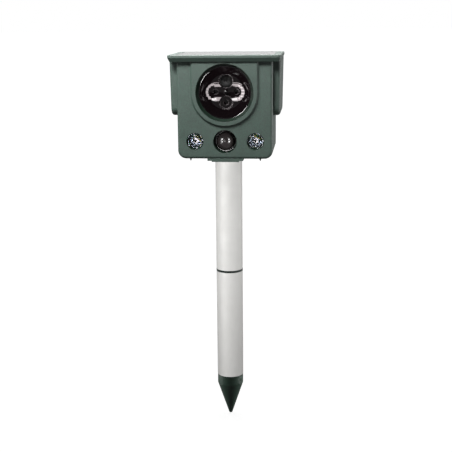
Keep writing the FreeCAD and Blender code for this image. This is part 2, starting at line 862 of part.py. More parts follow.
def horn_screws():
    """Four screws through the horn's ears into the face, with their heads behind."""
    screws = []
    for across, along in horn_ears():
        seat = (across, f"-{HORN_FRONT} + 2.4", f"speaker_height + ({along})")
        screws.append(screw("2.4", "1.8", "1.2", "4.8", seat, "back"))
    gather("horn_screws", screws)


# The movement sensor and the two lamps, built on axes that point to the front.


def sensor_parts():
    """Domed lens, its clamp cup, the round board and the sensor can."""
    middle = ("0", "-(face_depth - 9.5)", "lamp_height")
    ball = cut(sphere("sensor_dome_radius"), sphere("sensor_dome_radius - 0.9"))
    half = common(ball, cylinder("sensor_dome_radius + 1", "20"))
    flange = tube("sensor_hole_radius + 1.3", "sensor_dome_radius - 0.9", "1.2", ("0", "0", "-1.2"))
    place("sensor_lens", middle, "front", fuse(half, flange))
    rim = "sensor_hole_radius + 3"
    cup = [
        ("sensor_dome_radius", "-3.2"),
        ("sensor_dome_radius", "-1.25"),
        (rim, "-1.25"),
        (rim, "-7.4"),
        (f"{rim} - 1.8", "-7.4"),
        (f"{rim} - 1.8", "-3.2"),
    ]
    revolved("sensor_clamp", cup, middle, "front")
    board = cylinder(f"{rim} - 2", "1.6", ("0", "0", "-7.2"))
    place("sensor_board", middle, "front", board)
    can = fuse(
        cylinder("4.7", "0.8", ("0", "0", "-5.55")),
        cylinder("4.2", "4", ("0", "0", "-5.55")),
    )
    place("sensor_can", middle, "front", can)


def lamp_parts(side_name, side):
    """Clear lens, mirror cup, small board and light-emitting chip of one lamp."""
    middle = (f"{side} * lamp_offset", "-(face_depth - 10)", "lamp_height")
    edge = "lamp_lens_radius"
    lens = [
        ("0", "0.1"),
        (f"{edge} - 1.4", "0.1"),
        (edge, "1.3"),
        (edge, "3.9"),
        (f"{edge} - 1", "4.6"),
        ("0", "5.2"),
    ]
    revolved(f"lamp_lens_{side_name}", lens, middle, "front")
    cup = [
        ("3", "-7"),
        ("3.9", "-7"),
        (f"{edge} + 0.2", "-0.6"),
        ("lamp_hole_radius + 1.2", "-0.6"),
        ("lamp_hole_radius + 1.2", "0.95"),
        (f"{edge} + 0.15", "0.95"),
        (f"{edge} + 0.15", "0"),
        (f"{edge} - 0.9", "0"),
    ]
    revolved(f"lamp_reflector_{side_name}", cup, middle, "front")
    board = cylinder("8.5", "1.2", ("0", "0", "-8.25"))
    place(f"lamp_board_{side_name}", middle, "front", board)
    chip = box(("-1.75", "-1.75", "-7.04"), ("1.75", "1.75", "-6"))
    place(f"lamp_chip_{side_name}", middle, "front", chip)


# The electronics.


def main_board():
    """Circuit board inside the back wall, with its four fixing holes."""
    low = ("-board_half_width", BOARD_FRONT, "board_low")
    plate = box(low, ("board_half_width", "board_back", "board_high"))
    holes = [
        cylinder("1.6", "4", (across, f"{BOARD_FRONT} - 1", height), "back")
        for across, height in board_screw_places()
    ]
    keep(cut(plate, *holes), "main_board")


def board_screw_places():
    return [
        (f"{side} * board_screw_offset", height)
        for side in SIDES.values()
        for height in ("board_screw_low", "board_screw_high")
    ]


def board_parts():
    """Chips, wire sockets and capacitors on the front of the circuit board."""
    near = f"{BOARD_FRONT} - 0.02"
    blocks = {
        "controller": ("-30", "15", "10", "8", "2"),
        "amplifier": ("-12", "21", "6", "5", "1.8"),
        "charger": ("26", "9", "5", "4", "1.6"),
        "speaker_socket": ("-24", "1", "8", "4", "6"),
        "battery_socket": ("-4", "1", "8", "4", "6"),
        "lamp_socket": ("14", "1", "8", "4", "6"),
    }
    pieces = []
    for x, up, wide, high, tall in blocks.values():
        low = (x, f"{BOARD_FRONT} - {tall}", f"board_low + {up}")
        pieces.append(box(low, (f"{x} + {wide}", near, f"board_low + {up} + {high}")))
    capacitors = [("8", "17", "4", "9"), ("18", "23", "3.2", "8"), ("27", "21", "4.5", "6")]
    for x, up, radius, tall in capacitors:
        pieces.append(cylinder(radius, tall, (x, near, f"board_low + {up}"), "front"))
    gather("board_parts", pieces)


def board_screws():
    screws = [
        screw("2.6", "1.6", "1.15", "6", (across, BOARD_FRONT, height), "front")
        for across, height in board_screw_places()
    ]
    gather("board_screws", screws)


def dial_knob(label, centre):
    """Round knob with a ribbed rim, a raised grip bar and a pointer groove."""
    body = new_body(label, centre, "back")
    disc = new_sketch(body, "XY_Plane")
    circle(disc, ("0", "0"), "dial_radius")
    drum = pad(body, disc, "dial_thick")

    def top_edge(edge):
        return lies_on(edge, "Z", size("dial_thick"))

    dress(body, "Fillet", drum, {"Radius": "1"}, top_edge)
    bar = ("-2.2", "-dial_radius + 1.6", "dial_thick - 0.2")
    block(body, "AdditiveBox", bar, ("2.2", "dial_radius - 1.6", "dial_thick + 3.8"))
    pointer = ("-0.5", "1.5", "dial_thick + 3.3")
    block(body, "SubtractiveBox", pointer, ("0.5", "dial_radius", "dial_thick + 4"))
    cut_cylinder(body, "shaft_radius + 0.04", "6.5", ("0", "0", "-0.5"))
    flute = new_sketch(body, "XY_Plane")
    circle(flute, ("dial_radius + 0.5", "0"), "1.1")
    notch = pocket(body, flute, "3.6", reverse=True)
    pattern = body.newObject("PartDesign::PolarPattern", "PolarPattern")
    pattern.Originals = [notch]
    pattern.Axis = (disc, ["N_Axis"])
    pattern.Angle = 360
    pattern.Occurrences = 16
    body.Tip = pattern


def dial(name, side):
    """A dial on the back: its knob, its shaft and the potentiometer body on the board."""
    across = f"{side} * dial_offset"
    dial_knob(f"{name}_knob", (across, "back_depth + 0.4", "dial_height"))
    shaft_low = (across, "board_back + 0.6", "dial_height")
    shaft = cylinder("shaft_radius", "back_depth + 6.2 - board_back - 0.6", shaft_low, "back")
    gather(f"{name}_shaft", [shaft])
    low = (f"{across} - 6", "board_back + 0.05", "dial_height - 6")
    high = (f"{across} + 6", "board_back + 7", "dial_height + 6")
    bore_low = (across, "board_back + 0.5", "dial_height")
    bore = cylinder("shaft_radius + 0.05", "8", bore_low, "back")
    keep(cut(box(low, high), bore), f"{name}_dial_base")


def power_button_parts():
    """Push button with a retaining flange and a stem, and the switch body that it works."""
    middle = ("0", "0", "button_height")
    cap = cylinder("5.2", "5.5", ("0", f"{BACK_INSIDE} - 0.6", "0"), "back")
    flange = cylinder("6.2", "1.5", ("0", f"{BACK_INSIDE} - 1.9", "0"), "back")
    stem = cylinder("1.6", "6", ("0", f"{BACK_INSIDE} - 6.9", "0"), "back")
    place("power_button", middle, "up", fuse(cap, flange, stem))
    body = box(("-3.5", "board_back + 0.05", "-3.5"), ("3.5", "board_back + 5.6", "3.5"))
    bore = cylinder("1.75", "6", ("0", "board_back + 1", "0"), "back")
    place("power_switch", middle, "up", cut(body, bore))


def charge_socket_parts():
    """Charge socket with its centre pin, and the rubber cover with its fixed end."""
    middle = ("0", "0", "charge_height")
    body = box(("-4.5", "board_back + 0.05", "-5.5"), ("4.5", f"{BACK_INSIDE} - 0.2", "5.5"))
    bore = cylinder("3.15", "10", ("0", "board_back + 1.4", "0"), "back")
    pin = cylinder("1", "7.5", ("0", "board_back + 1", "0"), "back")
    place("charge_socket", middle, "up", fuse(cut(body, bore), pin))
    low = ("-6.5", "back_depth + 0.3", "-6.5")
    plate = box(low, ("6.5", "back_depth + 1.9", "6"))
    nub = cone("3.5", "4.2", "2.4", ("0", "back_depth - 2", "0"), "back")
    pull = box(("-3", "back_depth + 1.5", "-6.5"), ("3", "back_depth + 3", "-5"))
    bead = cylinder("0.8", "10", ("-5", "back_depth + 1.1", "6.15"), "right")
    place("charge_cover", middle, "up", fuse(plate, nub, pull, bead))
    strap = box(("-4", "back_depth + 0.02", "7.1"), ("4", "back_depth + 1.6", "9.8"))
    place("charge_cover_strap", middle, "up", strap)


# The battery compartment.


def battery_tray():
    """Open box behind the door that holds the cells."""
    low = ("-tray_half_width", "tray_front", "tray_low")
    body = box(low, ("tray_half_width", f"{BACK_INSIDE} - 0.1", "tray_high"))
    room_low = ("-tray_half_width + tray_wall", TRAY_FLOOR, "tray_low + tray_wall")
    room_high = ("tray_half_width - tray_wall", "back_depth", "tray_high - tray_wall")
    keep(cut(body, box(room_low, room_high)), "battery_tray")


def battery_cell(label, height):
    """Rechargeable cell lying across the tray, with its raised contact."""
    radius = "cell_radius"
    points = [
        ("0", "0"),
        (f"{radius} - 0.6", "0"),
        (radius, "0.6"),
        (radius, "cell_length - 1.8"),
        (f"{radius} - 0.6", "cell_length - 1.2"),
        ("2.75", "cell_length - 1.2"),
        ("2.75", "cell_length"),
        ("0", "cell_length"),
    ]
    revolved(label, points, (CELL_START, CELL_AXIS, height), "right")


def battery_contacts(heights):
    """A flat plate at one end of each cell and a spring sleeve at the other."""
    pieces = []
    inner = "tray_half_width - tray_wall - 0.1"
    for height in heights:
        low = (f"{CELL_START} + cell_length + 0.05", f"{CELL_AXIS} - 5", f"{height} - 5")
        pieces.append(box(low, (inner, f"{CELL_AXIS} + 5", f"{height} + 5")))
        end = (f"-({inner})", CELL_AXIS, height)
        pieces.append(tube("4.5", "3.7", f"{inner} + {CELL_START} - 0.1", end, "right"))
    gather("battery_contacts", pieces)


def battery_door():
    """Lid over the battery opening with two hinge knuckles and a ribbed thumb tab."""
    body = new_body("battery_door")
    outside = f"({DOOR_INSIDE} + door_thick)"
    plate = new_sketch(body, "XZ_Plane", f"-{DOOR_INSIDE}")
    rectangle(plate, ("-door_half_width", "door_low"), ("door_half_width", "door_high"))
    lid = pad(body, plate, "door_thick", reverse=True)
    doc.recompute()
    face = lid.Shape.BoundBox.YMax

    def outer_rim(edge):
        return lies_on(edge, "Y", face)

    dress(body, "Fillet", lid, {"Radius": "1.4"}, outer_rim)
    tab_low = ("-8", DOOR_INSIDE, "door_high - 1")
    block(body, "AdditiveBox", tab_low, ("8", outside, "door_high + 4"))
    for rib in range(3):
        level = f"door_high - 1 + {1.6 * rib:.1f}"
        rib_high = ("6", f"{outside} + 0.7", f"{level} + 0.7")
        block(body, "AdditiveBox", ("-6", DOOR_INSIDE, level), rib_high)
    for low_x in ("(-hinge_ear_start + 0.2)", "(hinge_ear_start - 10)"):
        axis = (low_x, HINGE_AXIS, "hinge_height")
        add_cylinder(body, "hinge_out", "9.8", axis, "right")
        low = (low_x, DOOR_INSIDE, "hinge_height")
        block(body, "AdditiveBox", low, (f"{low_x} + 9.8", outside, "door_low + 2"))
    bore = ("-30", HINGE_AXIS, "hinge_height")
    cut_cylinder(body, "hinge_pin_radius + 0.06", "60", bore, "right")


def door_gasket():
    """Flat rubber frame between the door and the back wall."""
    inner = "(tray_half_width)"
    low_y = "back_depth + 0.05"
    outer_low = (f"-{inner} - 2", low_y, "door_low + 0.8")
    outer = box(outer_low, (f"{inner} + 2", f"{DOOR_INSIDE} - 0.02", "door_high - 1"))
    window_low = (f"-{inner}", "back_depth", "door_low + 2.4")
    window = box(window_low, (inner, "back_depth + 1", "door_high - 2.6"))
    keep(cut(outer, window), "door_gasket")


def door_hinge_pin():
    end = ("-hinge_ear_start - 7", HINGE_AXIS, "hinge_height")
    pin = cylinder("hinge_pin_radius", "2 * (hinge_ear_start + 7)", end, "right")
    gather("door_hinge_pin", [pin])


# Inner leads.


def lead(label, points, bend, radius):
    """An insulated lead: straight runs joined by tangent arcs, with a round section."""
    corners = [Vector(*point) for point in points]
    edges = []
    start = corners[0]
    for before, corner, after in zip(corners, corners[1:], corners[2:]):
        arriving = (corner - before).normalize()
        leaving = (after - corner).normalize()
        half_turn = arriving.getAngle(leaving) / 2
        reach = bend * math.tan(half_turn)
        first = corner - arriving * reach
        last = corner + leaving * reach
        inwards = (leaving - arriving).normalize()
        middle = corner + inwards * (bend / math.cos(half_turn) - bend)
        edges.append(Part.LineSegment(start, first).toShape())
        edges.append(Part.Arc(first, middle, last).toShape())
        start = last
    edges.append(Part.LineSegment(start, corners[-1]).toShape())
    section = Part.Wire(Part.makeCircle(radius, corners[0], corners[1] - corners[0]))
    item = doc.addObject("Part::Feature", "Lead")
    item.Shape = Part.Wire(edges).makePipeShell([section], True, True)
    keep(item, label)


def leads():
    """Leads from the solar panel, the driver and the battery tray to the circuit board."""
    board_front = size("board_back") - size("board_thick")
    hole_y = size("hood_screw_back") - 2
    layers = size("solar_base_height") + size("solar_cover_height") + 0.1
    panel_low = size("head_top") + size("roof_height") - layers
    down = [(0, hole_y, panel_low), (0, hole_y, 426), (0, board_front - 0.1, 426)]
    lead("solar_lead", down, 4, 1.0)
    cap_back = -(size("face_depth") - size("wall") - 0.6) + 48.04
    middle = size("speaker_height") - 3
    across = [(-8, cap_back + 0.1, middle), (-8, cap_back + 7, middle), (-8, cap_back + 7, 412)]
    across.append((-8, board_front - 0.1, 412))
    lead("speaker_lead", across, 3, 1.0)
    lead("battery_lead", [(20, 21, 393.4), (20, 21, 397.9)], 3, 1.0)


def check_document():
    """Stops if any object failed or any sub-part isn't a sound solid."""
    for item in doc.Objects:
        if "Invalid" in item.State or "Error" in item.State:
            raise RuntimeError(f"{item.Label} failed: {item.State}")
    for item in sub_parts:
        shape = item.Shape
        if shape.isNull() or not shape.isValid() or not shape.Solids:
            raise RuntimeError(f"{item.Label} has no sound solid")


def build():
    """Builds every sub-part of the repeller."""
    ground_spike()
    pole_tube("lower_tube", SPIKE_TOP)
    tube_coupler()
    pole_tube("upper_tube", RING_HIGH)
    neck_swivel()
    front_shell()
    rear_shell()
    case_gasket()
    case_screws()
    hood()
    hood_screws()
    solar_layer("solar_board", SOLAR_FLOOR, "solar_base_height")
    cover_low = f"{SOLAR_FLOOR} + solar_base_height + 0.02"
    solar_layer("solar_cover", cover_low, "solar_cover_height")
    speaker_horn()
    horn_gasket()
    phase_plug()
    driver_parts()
    horn_screws()
    sensor_parts()
    for side_name, side in SIDES.items():
        lamp_parts(side_name, side)
    main_board()
    board_parts()
    board_screws()
    dial("mode", "-1")
    dial("sensitivity", "1")
    power_button_parts()
    charge_socket_parts()
    battery_tray()
    heights = ["cell_middle - cell_pitch", "cell_middle", "cell_middle + cell_pitch"]
    for number, height in enumerate(heights, 1):
        battery_cell(f"battery_cell_{number}", height)
    battery_contacts(heights)
    battery_door()
    door_gasket()
    door_hinge_pin()
    leads()
    doc.recompute()


fill_sheet()
build()
check_document()
os.makedirs("parts", exist_ok=True)
for sub_part in sub_parts:
    sub_part.Shape.exportStep(f"parts/{sub_part.Label}.step")
    print(sub_part.Label, len(sub_part.Shape.Solids), round(sub_part.Shape.Volume, 1))
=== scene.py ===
"""Looks of the solar ultrasonic pest repeller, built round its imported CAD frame, in metres."""

import json
import math
import random

import bmesh
import bpy
from mathutils import Euler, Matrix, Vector


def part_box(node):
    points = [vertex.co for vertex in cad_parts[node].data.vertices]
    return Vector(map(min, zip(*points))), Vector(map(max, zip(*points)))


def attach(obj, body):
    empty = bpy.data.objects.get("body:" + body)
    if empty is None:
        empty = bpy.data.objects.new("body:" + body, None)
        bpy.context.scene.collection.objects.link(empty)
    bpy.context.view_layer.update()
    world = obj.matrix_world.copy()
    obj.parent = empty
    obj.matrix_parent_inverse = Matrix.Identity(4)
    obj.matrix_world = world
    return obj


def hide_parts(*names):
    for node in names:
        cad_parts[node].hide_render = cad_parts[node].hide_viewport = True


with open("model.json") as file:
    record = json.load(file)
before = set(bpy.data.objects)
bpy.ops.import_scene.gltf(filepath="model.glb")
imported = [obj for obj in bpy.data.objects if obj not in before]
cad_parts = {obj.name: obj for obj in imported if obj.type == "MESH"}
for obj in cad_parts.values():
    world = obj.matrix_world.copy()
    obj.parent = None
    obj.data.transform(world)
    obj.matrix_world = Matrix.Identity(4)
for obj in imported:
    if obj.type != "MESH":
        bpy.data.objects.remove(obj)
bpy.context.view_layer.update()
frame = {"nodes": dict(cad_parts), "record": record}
nodes = frame["nodes"]
MM = 0.001
WELD = 1e-7


# Node materials. A grain is about how far apart the spots of a noise are.

SPECKLE_GRAIN = 1.1 * MM
SKIN_GRAIN = 1.2 * MM
SMEAR_GRAIN = 5 * MM
WARP_GRAIN = 6 * MM
GLOSS_GRAIN = 9 * MM
CLOUD_GRAIN = 11 * MM
POLISH_GRAIN = 12 * MM
WAVE_GRAIN = 14 * MM
WAVE_DEPTH = 0.04 * MM
DRIFT_GRAIN = 22 * MM
FINGER_PITCH = 2.4674 * MM


class Paint:
    """One Principled material and its node tree, with object coordinates in metres."""

    def __init__(self, name, **sockets):
        self.material = bpy.data.materials.new(name)
        self.material.use_nodes = True
        self.tree = self.material.node_tree
        self.shader = self.tree.nodes["Principled BSDF"]
        self.place = self.add("ShaderNodeTexCoord").outputs["Object"]
        self.normal = None
        for socket, value in sockets.items():
            self.shader.inputs[socket.replace("_", " ")].default_value = value

    def add(self, kind, inputs=(), **settings):
        """A node with settings, and inputs given as plain values or as sockets to link."""
        node = self.tree.nodes.new(kind)
        for name, value in settings.items():
            setattr(node, name, value)
        for name, value in dict(inputs).items():
            if isinstance(value, bpy.types.NodeSocket):
                self.tree.links.new(value, node.inputs[name])
            else:
                node.inputs[name].default_value = value
        return node

    def link(self, output, socket):
        """Leads a node's output to one of the shader's sockets."""
        self.tree.links.new(output, self.shader.inputs[socket])

    def along(self, axis):
        """One coordinate of the object's own space, in metres."""
        return self.add("ShaderNodeSeparateXYZ", {"Vector": self.place}).outputs[axis]

    def stretched(self, scale):
        """Object coordinates scaled along each axis."""
        return self.add("ShaderNodeMapping", {"Vector": self.place, "Scale": scale}).outputs[0]

    def noise(self, grain, detail, place=None):
        """Noise whose features are about one grain across."""
        inputs = {"Vector": place or self.place, "Scale": 1 / grain, "Detail": detail}
        return self.add("ShaderNodeTexNoise", inputs).outputs["Fac"]

    def spread(self, source, low, high, start=0.3, end=0.7):
        """Maps a stretch of a value, by default the middle of a noise, onto a range."""
        inputs = {"Value": source, "From Min": start, "From Max": end}
        inputs.update({"To Min": low, "To Max": high})
        return self.add("ShaderNodeMapRange", inputs).outputs["Result"]

    def ramp(self, source, *stops, steps=False):
        """Colours from (place, colour) stops."""
        node = self.add("ShaderNodeValToRGB", {"Fac": source})
        band = node.color_ramp
        band.interpolation = "CONSTANT" if steps else "LINEAR"
        while len(band.elements) < len(stops):
            band.elements.new(0.5)
        for element, (place, colour) in zip(band.elements, stops):
            element.position = place
            element.color = (*colour, 1)
        return node.outputs["Color"]

    def mix(self, factor, first, second, blend="MIX"):
        """Blends two colours, each a socket or a plain colour."""
        factor_in, first_in, second_in, colour_out = 0, 6, 7, 2
        node = self.add("ShaderNodeMix", data_type="RGBA", blend_type=blend)
        for place, value in ((factor_in, factor), (first_in, first), (second_in, second)):
            if isinstance(value, bpy.types.NodeSocket):
                self.tree.links.new(value, node.inputs[place])
            else:
                node.inputs[place].default_value = value if place == factor_in else (*value, 1)
        return node.outputs[colour_out]

    def colour_drift(self, colour, drift, grain, speckle=0.0):
        """Colour that wanders slowly lighter and darker, with a finer speckle on it."""
        dark = [c * (1 - drift) for c in colour]
        light = [c * (1 + drift) for c in colour]
        wander = self.ramp(self.noise(grain, 4), (0.3, dark), (0.7, light))
        if not speckle:
            return wander
        low, high = (1 - speckle,) * 3, (1 + speckle,) * 3
        dots = self.ramp(self.noise(SPECKLE_GRAIN, 3), (0.35, low), (0.65, high))
        return self.mix(1.0, wander, dots, "MULTIPLY")

    def soften_edges(self, radius):
        """Shades every sharp edge as if it were rounded."""
        self.normal = self.add("ShaderNodeBevel", {"Radius": radius}, samples=4).outputs["Normal"]

    def relief(self, *layers):
        """Bump from (height socket, depth in metres) layers, one on another."""
        for height, depth in layers:
            inputs = {"Height": height, "Distance": depth, "Strength": 1.0}
            if self.normal is not None:
                inputs["Normal"] = self.normal
            self.normal = self.add("ShaderNodeBump", inputs).outputs["Normal"]
        self.link(self.normal, "Normal")


def moulded(name, colour, roughness, grain=0.35 * MM, depth=0.010 * MM, drift=0.06,
            speckle=0.05, edge=0.35 * MM, **sockets):
    """Moulded plastic: a fine spark-eroded skin, slow colour drift and uneven gloss."""
    paint = Paint(name, **sockets)
    paint.link(paint.colour_drift(colour, drift, DRIFT_GRAIN, speckle), "Base Color")
    gloss = paint.noise(GLOSS_GRAIN, 3)
    paint.link(paint.spread(gloss, roughness - 0.04, roughness + 0.04), "Roughness")
    paint.soften_edges(edge)
    skin = (paint.noise(grain, 2), depth), (paint.noise(SKIN_GRAIN, 2), 5 * depth)
    paint.relief(*skin, (paint.noise(WAVE_GRAIN, 1), WAVE_DEPTH))
    return paint.material


def drawn_metal(name, colour, roughness, grain=0.25 * MM, along=(1, 1, 0.02), depth=0.003 * MM,
                **sockets):
    """Metal with fine drawing lines, and slow cloudy changes in its satin finish."""
    paint = Paint(name, Metallic=1.0, **sockets)
    lines = paint.noise(grain, 3, paint.stretched(along))
    clouds = paint.noise(CLOUD_GRAIN, 3)
    dark = [c * 0.95 for c in colour]
    paint.link(paint.ramp(lines, (0.3, dark), (0.7, colour)), "Base Color")
    paint.link(paint.spread(clouds, roughness - 0.03, roughness + 0.03), "Roughness")
    paint.relief((lines, depth))
    return paint.material


def glossy(name, colour, roughness, wobble=0.02 * MM, **sockets):
    """Polished plastic with the slight waviness of a moulded surface and faint smears."""
    paint = Paint(name, **sockets)
    paint.link(paint.colour_drift(colour, 0.1, POLISH_GRAIN), "Base Color")
    smears = paint.noise(SMEAR_GRAIN, 4)
    paint.link(paint.spread(smears, roughness * 0.7, roughness * 1.3), "Roughness")
    paint.relief((paint.noise(WARP_GRAIN, 1), wobble))
    return paint.material


def cell_wrap():
    """Shrunk film of a rechargeable cell: a plain green body with pale bands and ends."""
    paint = Paint("cell_wrap", Coat_Weight=0.6)
    low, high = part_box("battery_cell_1")
    place = paint.spread(paint.along("X"), 0, 1, low.x, high.x)
    white, green, silver = (0.75, 0.76, 0.74), (0.03, 0.22, 0.07), (0.6, 0.6, 0.6)
    bands = ((0, silver), (0.03, green), (0.2, white), (0.24, green), (0.86, white), (0.9, silver))
    paint.link(paint.ramp(place, *bands, steps=True), "Base Color")
    paint.link(paint.spread(paint.noise(WARP_GRAIN, 3), 0.2, 0.32), "Roughness")
    wrinkle_grain, wrinkle_depth = 3 * MM, 0.02 * MM
    paint.relief((paint.noise(wrinkle_grain, 2), wrinkle_depth))
    return paint.material


def cell_silicon():
    """Blue-black silicon with the fine silver fingers of a solar cell."""
    paint = Paint("solar_cells", Roughness=0.22, Coat_Weight=0.8)
    dark, light, silver = (0.006, 0.009, 0.03), (0.012, 0.02, 0.06), (0.10, 0.11, 0.14)
    crystal = 4 * MM
    grain = paint.ramp(paint.noise(crystal, 2), (0.3, dark), (0.7, light))
    # A wave texture of scale 1 repeats every pi / 10.
    wave = {"Vector": paint.place, "Scale": math.pi / 10 / FINGER_PITCH, "Distortion": 0.0}
    fingers = paint.add("ShaderNodeTexWave", wave, bands_direction="Y").outputs["Fac"]
    mask = paint.spread(fingers, 0, 1, 0.95, 0.995)
    paint.link(paint.mix(mask, grain, silver), "Base Color")
    return paint.material


def circuit_mask():
    """Solder mask over copper tracks, with a scatter of tinned pads."""
    paint = Paint("circuit_board", Coat_Weight=0.5)
    gloss_grain, track_height = 7 * MM, 0.03 * MM
    over_copper, over_board, tin = (0.01, 0.12, 0.04), (0.006, 0.07, 0.024), (0.6, 0.58, 0.5)
    tracks = {"Vector": paint.place, "Scale": 0.45 / MM, "Randomness": 0.0}
    cells = paint.add("ShaderNodeTexVoronoi", tracks, distance="CHEBYCHEV").outputs["Distance"]
    beside_track = paint.spread(cells, 0, 1, 0.3, 0.34)
    green = paint.ramp(beside_track, (0.4, over_copper), (0.6, over_board))
    pads = paint.add("ShaderNodeTexVoronoi", {"Vector": paint.place, "Scale": 0.22 / MM})
    near_pad = paint.spread(pads.outputs["Distance"], 1, 0, 0.13, 0.16)
    paint.link(paint.mix(near_pad, green, tin), "Base Color")
    paint.link(near_pad, "Metallic")
    paint.link(paint.spread(paint.noise(gloss_grain, 2), 0.28, 0.4), "Roughness")
    paint.relief((beside_track, track_height))
    return paint.material


GREEN = (0.007, 0.022, 0.0145)
finish = {
    "green_plastic": moulded("green_plastic", GREEN, 0.62, speckle=0.35, edge=0.2 * MM,
                             Specular_IOR_Level=0.8),
    "dark_green_plastic": moulded("dark_green_plastic", (0.003, 0.008, 0.005), 0.34, grain=0.6 * MM,
                                  edge=0.15 * MM, Specular_IOR_Level=0.3),
    "satin_aluminium": drawn_metal("satin_aluminium", (0.66, 0.655, 0.64), 0.62),
    "dark_plastic": moulded("dark_plastic", (0.006, 0.012, 0.009), 0.4),
    "horn_plastic": glossy("horn_plastic", (0.0015, 0.001, 0.0012), 0.07),
    "sensor_lens": glossy("sensor_lens", (0.012, 0.010, 0.010), 0.16),
    "clear_lens": glossy("clear_lens", (0.95, 0.97, 1.0), 0.02, Transmission_Weight=1.0, IOR=1.49),
    "mirror_reflector": drawn_metal("mirror_reflector", (0.82, 0.87, 0.95), 0.06, along=(1, 1, 1)),
    "solar_cells": cell_silicon(),
    "solar_cover": glossy("solar_cover", (0.96, 0.97, 0.98), 0.08, Transmission_Weight=1.0),
    "rubber": moulded("rubber", (0.016, 0.016, 0.016), 0.62, grain=0.2 * MM),
    "zinc_steel": drawn_metal("zinc_steel", (0.42, 0.42, 0.40), 0.42, along=(1, 1, 1)),
    "steel": drawn_metal("steel", (0.56, 0.56, 0.56), 0.24, along=(1, 1, 1)),
    "circuit_board": circuit_mask(),
    "board_parts": moulded("board_parts", (0.02, 0.02, 0.021), 0.4),
    "black_plastic": moulded("black_plastic", (0.014, 0.014, 0.015), 0.42),
    "phosphor": moulded("phosphor", (0.8, 0.66, 0.2), 0.35),
    "ceramic_disc": moulded("ceramic_disc", (0.7, 0.69, 0.65), 0.3),
    "driver_skin": moulded("driver_skin", (0.03, 0.03, 0.03), 0.7),
    "cell_wrap": cell_wrap(),
    "lead_jacket": moulded("lead_jacket", (0.25, 0.01, 0.01), 0.4),
}


def wear(piece, slot):
    """Gives a piece the finish of one of the record's slots."""
    piece.data.materials.clear()
    piece.data.materials.append(finish[slot])


for part in frame["record"]["subparts"]:
    wear(nodes[part["node"]], part["material_slot"])


# Helpers for pieces. Local points are (right, up, forwards) about an axis to the front.


def middle(node):
    """Middle of a node's box at rest."""
    low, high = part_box(node)
    return (low + high) / 2


def facing_front(centre, points):
    """Turns local points about a forward axis into the row frame."""
    return [centre + Vector((right, -forwards, up)) for right, up, forwards in points]


def angles(count, shift=0.0):
    """Evenly spaced angles of a whole turn, from a shift given in steps."""
    return [math.tau * (i + shift) / count for i in range(count)]


def circle(count, radius, forwards):
    """Local points of a circle about the axis."""
    return [(radius * math.cos(a), radius * math.sin(a), forwards) for a in angles(count)]


def add_piece(name, mesh, slot, body, replaced=()):
    """Makes an object of a bmesh, with its finish, its body and what it replaces."""
    data = bpy.data.meshes.new(name)
    bmesh.ops.remove_doubles(mesh, verts=mesh.verts, dist=WELD)
    bmesh.ops.recalc_face_normals(mesh, faces=mesh.faces)
    mesh.to_mesh(data)
    mesh.free()
    piece = bpy.data.objects.new(name, data)
    bpy.context.scene.collection.objects.link(piece)
    wear(piece, slot)
    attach(piece, body)
    if replaced:
        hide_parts(*replaced)
    return piece


def add_grid(mesh, rows, smooth=True):
    """Adds a net of faces through rows of points, each row closed on itself."""
    nets = [[mesh.verts.new(point) for point in row] for row in rows]
    for low, high in zip(nets, nets[1:]):
        for i in range(len(low)):
            after = (i + 1) % len(low)
            face = mesh.faces.new((low[i], low[after], high[after], high[i]))
            face.smooth = smooth
    return nets


def turned(mesh, centre, profile, count=64, smooth=True):
    """Adds a solid of revolution about a forward axis, from (radius, forwards) points."""
    rows = [facing_front(centre, circle(count, *point)) for point in [*profile, profile[0]]]
    add_grid(mesh, rows, smooth)


def add_block(mesh, low, high, bevel=0.0):
    """Adds a box with bevelled edges."""
    corners = bmesh.ops.create_cube(mesh, size=1)["verts"]
    for corner in corners:
        corner.co = Vector((b if c > 0 else a) for a, b, c in zip(low, high, corner.co))
    if bevel:
        edges = list({edge for corner in corners for edge in corner.link_edges})
        bmesh.ops.bevel(mesh, geom=edges, offset=bevel, segments=2, affect="EDGES", profile=0.5)


# The speaker's bowl.

BOWL_RADIUS = 30.6 * MM
FLOOR_RADIUS = 20.0 * MM
BOWL_FLOOR = 11.5 * MM
WALL_BULGE = 0.13
SCOOP_RADIUS = 17.5 * MM
SCOOP_OFFSET = 12.0 * MM
SCOOP_DEPTH = 15.0 * MM
SCOOP_STRETCH = 0.45
SCOOP_BLEND = 0.5 * MM
FLAT_SCOOP = 8.2 * MM
UPPER_SOFTNESS = 0.9 * MM
LOWER_SOFTNESS = 2.4 * MM
SOUND_HOLE = 2.5 * MM
HOLE_SOFTNESS = 0.5 * MM
HOLE_DEPTH = 5 * MM


def soft_max(first, second, blend):
    """The larger of two lengths, with a rounded changeover about one blend wide."""
    gap = max(blend - abs(first - second), 0) / blend
    return max(first, second) + gap * gap * blend / 4


def within(limit, distance, softness):
    """1 well within a limit and 0 well beyond it."""
    return min(max((limit - distance) / softness + 0.5, 0), 1)


